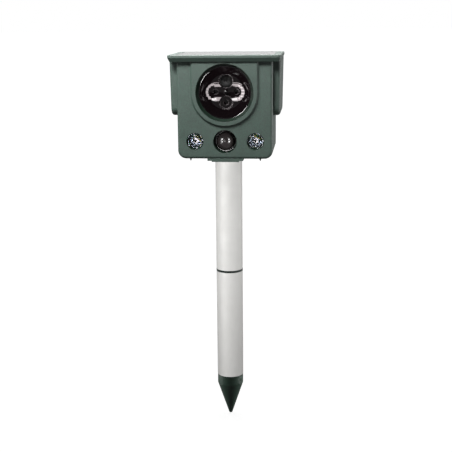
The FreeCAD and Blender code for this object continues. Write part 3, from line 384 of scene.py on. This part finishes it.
def bowl_depth(right, up):
    """Depth of the glossy surface below the rim: a round bowl, a flat floor and four scoops."""
    radius = math.hypot(right, up)
    up_wall = max((radius - FLOOR_RADIUS) / (BOWL_RADIUS - FLOOR_RADIUS), 0)
    depth = BOWL_FLOOR * (1 - up_wall) * (1 + WALL_BULGE * up_wall)
    for across, along in ((1, 0), (0, 1), (-1, 0), (0, -1)):
        off_axis = math.hypot(right - across * SCOOP_OFFSET, up - along * SCOOP_OFFSET)
        inwards = SCOOP_OFFSET - (right * across + up * along)
        sideways = right * along + up * across
        drawn_out = inwards * SCOOP_STRETCH if inwards > 0 else inwards
        reach = SCOOP_RADIUS**2 - drawn_out**2 - sideways**2
        if along:
            flat = within(FLAT_SCOOP, off_axis, UPPER_SOFTNESS if along > 0 else LOWER_SOFTNESS)
            depth = max(depth, SCOOP_DEPTH * flat * flat * (3 - 2 * flat))
        elif reach > 0 and inwards < SCOOP_OFFSET:
            depth = soft_max(depth, SCOOP_DEPTH - SCOOP_RADIUS + math.sqrt(reach), SCOOP_BLEND)
        depth += within(SOUND_HOLE, off_axis, HOLE_SOFTNESS) * HOLE_DEPTH
    return depth


def horn_front():
    """Middle of the speaker's rim."""
    centre = middle("phase_plug")
    centre.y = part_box("speaker_horn")[0].y
    return centre


def speaker_horn():
    """Bowl with its rim, flange and throat, and the four fixing ears."""
    centre = horn_front()
    mesh = bmesh.new()
    count, floor_rings, wall_rings = 288, 64, 34
    flat_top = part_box("speaker_horn")[1].z - centre.z
    radii = [FLOOR_RADIUS * ring / floor_rings for ring in range(1, floor_rings + 1)]
    for ring in range(1, wall_rings + 1):
        radii.append(FLOOR_RADIUS + (BOWL_RADIUS - FLOOR_RADIUS) * ring / wall_rings)
    rows = []
    for radius in radii:
        rows.append([(right, up, -bowl_depth(right, up)) for right, up, _ in circle(count, radius, 0)])
    # Radii and heights in millimetres, from the rim round the back to the throat.
    rim = ((31.0, 0.25), (31.5, 0), (34.5, 0))
    flange_back = ((34.5, -2.4), (31.5, -2.4), (29, -8), (24.5, -15))
    throat = ((24, -17), (24, -34), (19, -34), (19, -23), (0.5, -23))
    for radius, forwards in (*rim, *flange_back, *throat):
        outline = circle(count, radius * MM, forwards * MM)
        rows.append([(right, min(up, flat_top), ahead) for right, up, ahead in outline])
    nets = add_grid(mesh, [facing_front(centre, row) for row in rows])
    mesh.faces.new(nets[0])
    mesh.faces.new(nets[-1])
    crease = set(nets[floor_rings - 1])
    for edge in mesh.edges:
        edge.smooth = not crease.issuperset(edge.verts)
    ear_x, ear_z, ear_radius, ear_hole, ear_thick = 33 * MM, 17 * MM, 4 * MM, 1.4 * MM, 2.4 * MM
    ear = [(ear_hole, 0), (ear_radius, 0), (ear_radius, -ear_thick), (ear_hole, -ear_thick)]
    for screw_x in (-ear_x, ear_x):
        for screw_z in (-ear_z, ear_z):
            turned(mesh, centre + Vector((screw_x, 0, screw_z)), ear, 32)
    return add_piece("horn_bowl", mesh, "horn_plastic", "head", ["speaker_horn"])


def painted_reflection_disc():
    """Dull grey disc over the sound hole of the upper scoop: a painted reflection of the floor."""
    centre = horn_front() + Vector((0, SCOOP_DEPTH, SCOOP_OFFSET))
    hole, gap, thick, crown = 0.2 * MM, 0.05 * MM, 0.3 * MM, 0.5 * MM
    wide = FLAT_SCOOP - 1.2 * MM
    mesh = bmesh.new()
    top = [(hole, thick + crown), (wide * 0.5, thick + crown * 0.8), (wide, thick)]
    turned(mesh, centre, [*top, (wide, gap), (hole, gap)], 48)
    # Its dull grey finish stands in for the floor's reflection in the scoop: painted reflection.
    return add_piece("painted_reflection_disc", mesh, "driver_skin", "head")


def horn_lip():
    """Thin rolled bead just inside the rim of the bowl."""
    thick, inset, sunk = 0.7 * MM, 1.1 * MM, 0.8 * MM
    bead = []
    for angle in angles(16):
        bead.append((BOWL_RADIUS - inset + thick * math.cos(angle), thick * math.sin(angle) - sunk))
    mesh = bmesh.new()
    turned(mesh, horn_front(), bead, 192)
    return add_piece("horn_lip", mesh, "horn_plastic", "head")


# Dark sheets in the face's openings: painted shade, standing in for the shade in those gaps.

PANEL_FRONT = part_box("front_shell")[0].y
FACE = PANEL_FRONT + 2.5 * MM


def painted_shade_sleeve(name, node, front, wide, narrow, deep):
    """Thin dark sheet in one sloping opening, with its front and back radius: painted shade for the gap.
    """
    centre = middle(node)
    centre.y = front
    gap, thick, sunk = 0.12 * MM, 0.3 * MM, 0.1 * MM
    mesh = bmesh.new()
    sleeve = [(wide - gap, -sunk), (wide - gap - thick, -sunk)]
    sleeve += [(narrow - gap - thick, -deep), (narrow - gap, -deep)]
    turned(mesh, centre, sleeve, 128, smooth=False)
    # The near-black finish on this sheet is painted shade.
    return add_piece(name, mesh, "dark_green_plastic", "head")


def painted_shade_sleeves():
    """Painted-shade sheets in the mouth, in the sensor's opening and in both lamps' openings."""
    mouth = {"wide": 32.85 * MM, "narrow": 30.1 * MM, "deep": 5.0 * MM}
    sensor = {"wide": 13.5 * MM, "narrow": 12.4 * MM, "deep": 9.3 * MM}
    lamp = {"wide": 9.85 * MM, "narrow": 8.62 * MM, "deep": 8.9 * MM}
    painted_shade_sleeve("mouth_shade_sleeve", "phase_plug", PANEL_FRONT, **mouth)
    painted_shade_sleeve("sensor_shade_sleeve", "sensor_lens", FACE, **sensor)
    for side in ("left", "right"):
        painted_shade_sleeve(f"lamp_opening_shade_{side}", f"lamp_lens_{side}", FACE, **lamp)


# The movement sensor's lens.


def sensor_dome():
    """Smoky dome moulded as a net of small flat lenses, on its round flange."""
    low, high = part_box("sensor_lens")
    base_thick, above_base = 1.2 * MM, 0.35 * MM
    centre = middle("sensor_lens")
    centre.y = high.y - base_thick
    radius = centre.y - low.y
    ball = bmesh.new()
    bmesh.ops.create_icosphere(ball, subdivisions=4, radius=radius * 0.994)
    mesh = bmesh.new()
    middles = {face: face.calc_center_median().normalized() * radius for face in ball.faces}
    corners = {}
    for vertex in ball.verts:
        if vertex.co.y > -above_base:
            continue
        outwards = vertex.co.normalized()
        first = vertex.link_faces[0].calc_center_median()
        side = (first - outwards * first.dot(outwards)).normalized()
        other = outwards.cross(side)
        around = sorted(
            vertex.link_faces,
            key=lambda face: math.atan2(middles[face].dot(other), middles[face].dot(side)),
        )
        for face in around:
            if face not in corners:
                corners[face] = mesh.verts.new(centre + middles[face])
        mesh.faces.new([corners[face] for face in around])
    ball.free()
    border, raised = 0.10 * MM, 0.05 * MM
    bmesh.ops.inset_individual(mesh, faces=mesh.faces[:], thickness=border, depth=raised)
    inner, outer = radius * 0.9, (high.x - low.x) / 2
    flange = [(inner, -base_thick), (outer, -base_thick), (outer, 0), (inner, 0)]
    turned(mesh, centre, flange)
    return add_piece("sensor_dome", mesh, "sensor_lens", "head", ["sensor_lens"])


# The lamps.


def lamp_glass(side):
    """Clear lens with a domed front and a hollow back."""
    low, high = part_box(f"lamp_lens_{side}")
    centre = middle(f"lamp_lens_{side}")
    edge = (high.x - low.x) / 2
    front = centre.y - low.y
    hole = 0.2 * MM
    back_face = [(hole, front * 0.2), (edge * 0.9, front * 0.2), (edge, front * 0.1)]
    shoulder = [(edge, front * 0.6), (edge * 0.93, front * 0.8)]
    crown = [(edge * 0.7, front * 0.9), (hole, front)]
    mesh = bmesh.new()
    turned(mesh, centre, back_face + shoulder + crown, 96)
    return add_piece(f"lamp_glass_{side}", mesh, "clear_lens", "head", [f"lamp_lens_{side}"])


def lamp_mirror(side):
    """Mirror cup whose facets are a little uneven."""
    lens_low, lens_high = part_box(f"lamp_lens_{side}")
    low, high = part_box(f"lamp_reflector_{side}")
    edge = (lens_high.x - lens_low.x) / 2
    back = middle(f"lamp_reflector_{side}")
    back.y = high.y
    depth = high.y - low.y
    wide = (high.x - low.x) / 2
    chance = random.Random(side)
    count, last, throat, floor_thick, uneven = 20, 6, 2.6 * MM, 1.6 * MM, 0.28 * MM
    rows = []
    for level in range(last + 1):
        share = level / last
        radius = throat + (edge * 0.93 - throat) * share**0.75
        forwards = (depth - floor_thick) * share**1.15
        row = []
        for angle in angles(count, level % 2 / 2):
            jitter = chance.uniform(-uneven, uneven) * (0 < level < last)
            reach = radius + jitter
            row.append((reach * math.cos(angle), reach * math.sin(angle), forwards + jitter))
        rows.append(row)
    seat, rim_thick, taper_depth = edge + 0.15 * MM, 1.5 * MM, 4.5 * MM
    rim = [(seat, depth - 0.9 * MM), (seat, depth), (wide, depth), (wide, depth - rim_thick)]
    outside = [(edge * 0.7, depth - taper_depth), (3.6 * MM, 0), (throat, 0)]
    rows += [circle(count, radius, forwards) for radius, forwards in rim + outside]
    mesh = bmesh.new()
    add_grid(mesh, [facing_front(back, row) for row in rows], smooth=False)
    return add_piece(f"lamp_mirror_{side}", mesh, "mirror_reflector", "head", [f"lamp_reflector_{side}"])


def lamp_chip(side):
    """Low dome of the lamp's chip."""
    low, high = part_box(f"lamp_chip_{side}")
    seat = middle(f"lamp_chip_{side}")
    seat.y = high.y
    tall = high.y - low.y
    hole, wide, crown = 0.1 * MM, 0.95 * MM, 0.7 * MM
    dome = [(hole, 0), (wide, 0), (wide, tall * 0.6), (crown, tall * 0.9), (hole, tall)]
    mesh = bmesh.new()
    turned(mesh, seat, dome, 24)
    return add_piece(f"lamp_phosphor_{side}", mesh, "phosphor", "head", [f"lamp_chip_{side}"])


# The solar panel.


def solar_panel():
    """Backing board with rows of cut cells and the ribbons that join them."""
    low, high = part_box("solar_board")
    columns, lines, margin, gap = 6, 2, 3 * MM, 0.8 * MM
    board_top, cell_bottom, cell_top = high.z - 0.5 * MM, high.z - 0.6 * MM, high.z - 0.1 * MM
    wide = (high.x - low.x - 2 * margin + gap) / columns
    deep = (high.y - low.y - 2 * margin + gap) / lines
    mesh = bmesh.new()
    add_block(mesh, low, Vector((high.x, high.y, board_top)), 0.2 * MM)
    for column in range(columns):
        for line in range(lines):
            near = Vector((low.x + margin + column * wide, low.y + margin + line * deep, cell_bottom))
            far = Vector((near.x + wide - gap, near.y + deep - gap, cell_top))
            add_block(mesh, near, far, 0.1 * MM)
    board = add_piece("solar_cells", mesh, "solar_cells", "head", ["solar_board"])
    ribbon_half, sunk = 0.55 * MM, 0.05 * MM
    mesh = bmesh.new()
    for column in range(columns):
        for share in (0.28, 0.72):
            across = low.x + margin + (column + share) * wide - gap / 2
            near = Vector((across - ribbon_half, low.y + margin, cell_top - sunk))
            far = Vector((across + ribbon_half, high.y - margin, high.z))
            add_block(mesh, near, far, 0.02 * MM)
    ribbons = add_piece("solar_ribbons", mesh, "steel", "head")
    return board, ribbons


# The battery springs.


def battery_contacts():
    """A coil spring on a plate at one end of each cell, and a plain plate at the other."""
    low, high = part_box("battery_contacts")
    half, plate_thick, gap = 5 * MM, 0.3 * MM, 0.1 * MM
    coil_radius, wire, turns = 4.2 * MM, 0.33 * MM, 4
    mesh = bmesh.new()
    for number in (1, 2, 3):
        cell_low, cell_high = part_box(f"battery_cell_{number}")
        axis = middle(f"battery_cell_{number}")
        far_low = Vector((cell_high.x + gap, axis.y - half, axis.z - half))
        add_block(mesh, far_low, Vector((high.x, axis.y + half, axis.z + half)), 0.3 * MM)
        length = cell_low.x - low.x
        add_spring(mesh, Vector((low.x, axis.y, axis.z)), length - gap, coil_radius, wire, turns)
        near_low = Vector((low.x, axis.y - half, axis.z - half))
        near_high = Vector((low.x + plate_thick, axis.y + half, axis.z + half))
        add_block(mesh, near_low, near_high, 0.1 * MM)
    return add_piece("contact_springs", mesh, "steel", "head", ["battery_contacts"])


def add_spring(mesh, start, length, radius, wire, turns):
    """Adds a conical coil of round wire along X, closed at both ends."""
    steps, narrowing, rows = 28 * turns, 0.35, []
    sideways = Vector((1, 0, 0))
    for step in range(steps + 1):
        share = step / steps
        angle = math.tau * turns * share
        reach = radius * (1 - narrowing * share)
        outwards = Vector((0, math.cos(angle), math.sin(angle)))
        spot = start + outwards * reach + Vector((wire + (length - 2 * wire) * share, 0, 0))
        rows.append([spot + wire * (outwards * math.cos(a) + sideways * math.sin(a)) for a in angles(8)])
    nets = add_grid(mesh, rows)
    mesh.faces.new(nets[0])
    mesh.faces.new(nets[-1])


# Marks on the back.


def dial_marks(name, count, spread, growing):
    """Raised marks moulded round one dial, all alike or longer step by step."""
    hub = middle(f"{name}_knob")
    knob_low, knob_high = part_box(f"{name}_knob")
    inner = (knob_high.x - knob_low.x) / 2 + 1.2 * MM
    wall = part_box("battery_door")[0].y
    wide, tall, taper = 1.1 * MM, 1.2 * MM, 0.7
    shortest, growth, even = 1.2 * MM, 2.0 * MM, 2.2 * MM
    mesh = bmesh.new()
    for mark in range(count):
        share = mark / (count - 1)
        angle = math.radians(90 + spread * (0.5 - share))
        long = shortest + growth * share if growing else even
        outwards = Vector((math.cos(angle), 0, math.sin(angle)))
        across = Vector((-math.sin(angle), 0, math.cos(angle)))
        centre = Vector((hub.x, wall, hub.z)) + outwards * (inner + long / 2)
        for corner in bmesh.ops.create_cube(mesh, size=1)["verts"]:
            shape = corner.co.copy()
            top = taper if shape.y > 0 else 1.0
            corner.co = centre + outwards * shape.x * long * top + across * shape.z * wide * top
            corner.co.y += shape.y * tall
    return add_piece(f"{name}_marks", mesh, "green_plastic", "head")


horn = speaker_horn()
lip = horn_lip()
painted_reflection_disc()
painted_shade_sleeves()
dome = sensor_dome()
lamps = [make(side) for side in ("left", "right") for make in (lamp_glass, lamp_mirror, lamp_chip)]
panel = [*solar_panel(), nodes["solar_cover"]]
battery_contacts()
dial_marks("mode", count=6, spread=300, growing=False)
dial_marks("sensitivity", count=9, spread=270, growing=True)


# The stage, the lights and the camera, in degrees, metres and watts.

FAR = 0.6
NEAR = 0.35
ARC_STEP = 25
ROSE = (1, 0.9, 0.92)
CAMERA_PLACE = (0.1043, -1.0912, 0.4895)
LENS_LENGTH = 74.0
LOOKING_DOWN = 12.76
TO_THE_RIGHT = 5.67
ROLL = 0.53


def light_group(name, state, members):
    """The objects that a light is for, or the ones that it leaves alone."""
    group = bpy.data.collections.new(name)
    for member in members:
        group.objects.link(member)
    for entry in group.collection_objects:
        entry.light_linking.link_state = state
    return group


def soft_box(group, name, azimuth, elevation, wide, high, watts, lowered=0.0, distance=FAR,
             tint=(1, 1, 1)):
    """A light for one group of pieces, facing the head and hidden from the camera."""
    light = bpy.data.lights.new(name, "AREA")
    light.shape = "RECTANGLE"
    light.size = wide
    light.size_y = high
    light.energy = watts
    light.color = tint
    fixture = bpy.data.objects.new(name, light)
    turn, rise = math.radians(azimuth), math.radians(elevation)
    level = math.cos(rise)
    outwards = Vector((math.sin(turn) * level, -math.cos(turn) * level, math.sin(rise)))
    fixture.location = middle("front_shell") + outwards * distance - Vector((0, 0, lowered))
    fixture.rotation_euler = outwards.to_track_quat("Z", "Y").to_euler()
    fixture.visible_camera = False
    fixture.light_linking.receiver_collection = group
    bpy.context.scene.collection.objects.link(fixture)


def arc_of_lights(group, side, off_axis, wide, watts):
    """Lights on an arc beside the head, which round hollows show as a crescent."""
    tilt = math.radians(off_axis)
    for step in range(-3, 4):
        around = math.radians(ARC_STEP * step)
        up = math.sin(tilt) * math.sin(around)
        across = side * math.sin(tilt) * math.cos(around)
        azimuth = math.degrees(math.atan2(across, math.cos(tilt)))
        elevation = math.degrees(math.asin(up))
        name = f"glint_{off_axis}_{step + 4}"
        soft_box(group, name, azimuth, elevation, wide, wide, watts, 0, NEAR, ROSE)


def surroundings():
    """White behind the object and dim in front of it, and plain white to the camera."""
    dim, bright, changeover = 0.05, 1.0, 0.35
    world = bpy.data.worlds.new("surroundings")
    world.use_nodes = True
    tree = world.node_tree
    add = tree.nodes.new
    seen = tree.nodes["Background"]
    seen.inputs["Color"].default_value = (1, 1, 1, 1)
    seen.inputs["Strength"].default_value = 1.0
    lit = add("ShaderNodeBackground")
    direction = add("ShaderNodeSeparateXYZ")
    shade = add("ShaderNodeMapRange")
    shade.interpolation_type = "SMOOTHSTEP"
    shade.inputs["From Min"].default_value = -changeover
    shade.inputs["From Max"].default_value = changeover
    shade.inputs["To Min"].default_value = dim
    shade.inputs["To Max"].default_value = bright
    either = add("ShaderNodeMixShader")
    for output, target in (
        (add("ShaderNodeTexCoord").outputs["Generated"], direction.inputs[0]),
        (direction.outputs["Y"], shade.inputs["Value"]),
        (shade.outputs["Result"], lit.inputs["Strength"]),
        (add("ShaderNodeLightPath").outputs["Is Camera Ray"], either.inputs["Fac"]),
        (lit.outputs[0], either.inputs[1]),
        (seen.outputs[0], either.inputs[2]),
        (either.outputs[0], tree.nodes["World Output"].inputs["Surface"]),
    ):
        tree.links.new(output, target)
    bpy.context.scene.world = world


def white_floor():
    """Pale paper floor that the camera sees nearly white."""
    reach, paper_grain = 30, 0.5
    bpy.ops.mesh.primitive_circle_add(vertices=96, radius=reach, fill_type="NGON")
    floor = bpy.context.object
    floor.name = "floor"
    paint = Paint("floor_paper", Roughness=0.9, Specular_IOR_Level=0.1)
    shades = (0.3, (0.58,) * 3), (0.7, (0.6,) * 3)
    paint.link(paint.ramp(paint.noise(paper_grain, 2), *shades), "Base Color")
    paint.shader.inputs["Emission Color"].default_value = (1, 1, 1, 1)
    seen = paint.add("ShaderNodeLightPath").outputs["Is Camera Ray"]
    paint.link(paint.spread(seen, 0, 0.8, 0, 1), "Emission Strength")
    floor.data.materials.append(paint.material)
    return floor


def studio():
    """White floor and surroundings, and soft boxes round the head, each for some of the pieces."""
    floor = white_floor()
    surroundings()
    tubes = [nodes["lower_tube"], nodes["upper_tube"]]
    general = light_group("general", "EXCLUDE", [floor, horn, lip, dome, *tubes, *panel])
    pole = light_group("pole", "INCLUDE", tubes)
    spike = light_group("spike", "INCLUDE", [nodes["ground_spike"]])
    lamp_cups = light_group("lamp_cups", "INCLUDE", lamps)
    glossy_parts = light_group("glossy_parts", "INCLUDE", [horn, *lamps])
    lens = light_group("lens", "INCLUDE", [dome])
    rim = light_group("rim", "INCLUDE", [lip])

    # Each light: its group and name, azimuth and elevation, width and height, watts.
    soft_box(general, "top_light", -32, 50, 0.42, 0.14, 15.0)
    soft_box(general, "key_light", -62, 12, 0.14, 0.50, 0.8)
    soft_box(general, "fill_light", 64, -4, 0.07, 0.62, 0.8)
    soft_box(general, "side_light", 104, 0, 0.30, 0.60, 2.5)
    soft_box(general, "back_light", 200, 60, 0.5, 0.2, 7.0)
    soft_box(general, "back_fill", 186, -28, 0.4, 0.2, 1.2)
    pole_lights = ((-105, 1.2), (-48, 3.2), (0, 2.3), (50, 1.8), (105, 1.1), (180, 1.6))
    for number, (azimuth, watts) in enumerate(pole_lights, 1):
        soft_box(pole, f"pole_light_{number}", azimuth, 0, 0.5, 0.54, watts, lowered=0.29)
    soft_box(spike, "spike_left", -86, 0, 0.2, 0.3, 16.0, lowered=0.24)
    soft_box(spike, "spike_right", 98, 0, 0.2, 0.3, 15.0, lowered=0.24)
    soft_box(rim, "rim_light", -44, 34, 0.16, 0.16, 7.0, distance=NEAR)
    soft_box(rim, "rim_fill", 44, -30, 0.16, 0.16, 6.0, distance=NEAR)
    soft_box(glossy_parts, "scoop_light", 4, 52, 0.14, 0.06, 0.5, distance=NEAR)
    arc_of_lights(glossy_parts, side=1, off_axis=58, wide=0.12, watts=0.5)
    arc_of_lights(glossy_parts, side=-1, off_axis=54, wide=0.17, watts=1.0)
    soft_box(lamp_cups, "lamp_front", -12, 14, 0.12, 0.12, 0.3)
    soft_box(lens, "dome_centre", -8, -2, 0.08, 0.12, 1.2)
    soft_box(lens, "dome_left", -44, 0, 0.09, 0.7, 6.0)
    soft_box(lens, "dome_right", 48, 0, 0.09, 0.7, 6.0)
    bpy.context.scene.view_settings.view_transform = "Standard"


def camera():
    """A long lens a little above the head, slightly to the right and looking down."""
    data = bpy.data.cameras.new("camera")
    data.lens = LENS_LENGTH
    data.sensor_width = 36
    data.clip_start = 0.05
    data.clip_end = 200
    shot = bpy.data.objects.new("camera", data)
    shot.location = CAMERA_PLACE
    pitch, azimuth, roll = (math.radians(angle) for angle in (LOOKING_DOWN, TO_THE_RIGHT, ROLL))
    shot.rotation_mode = "QUATERNION"
    level = Euler((math.pi / 2 - pitch, 0, azimuth)).to_quaternion()
    shot.rotation_quaternion = level @ Euler((0, 0, -roll)).to_quaternion()
    bpy.context.scene.collection.objects.link(shot)
    bpy.context.scene.camera = shot


studio()
camera()
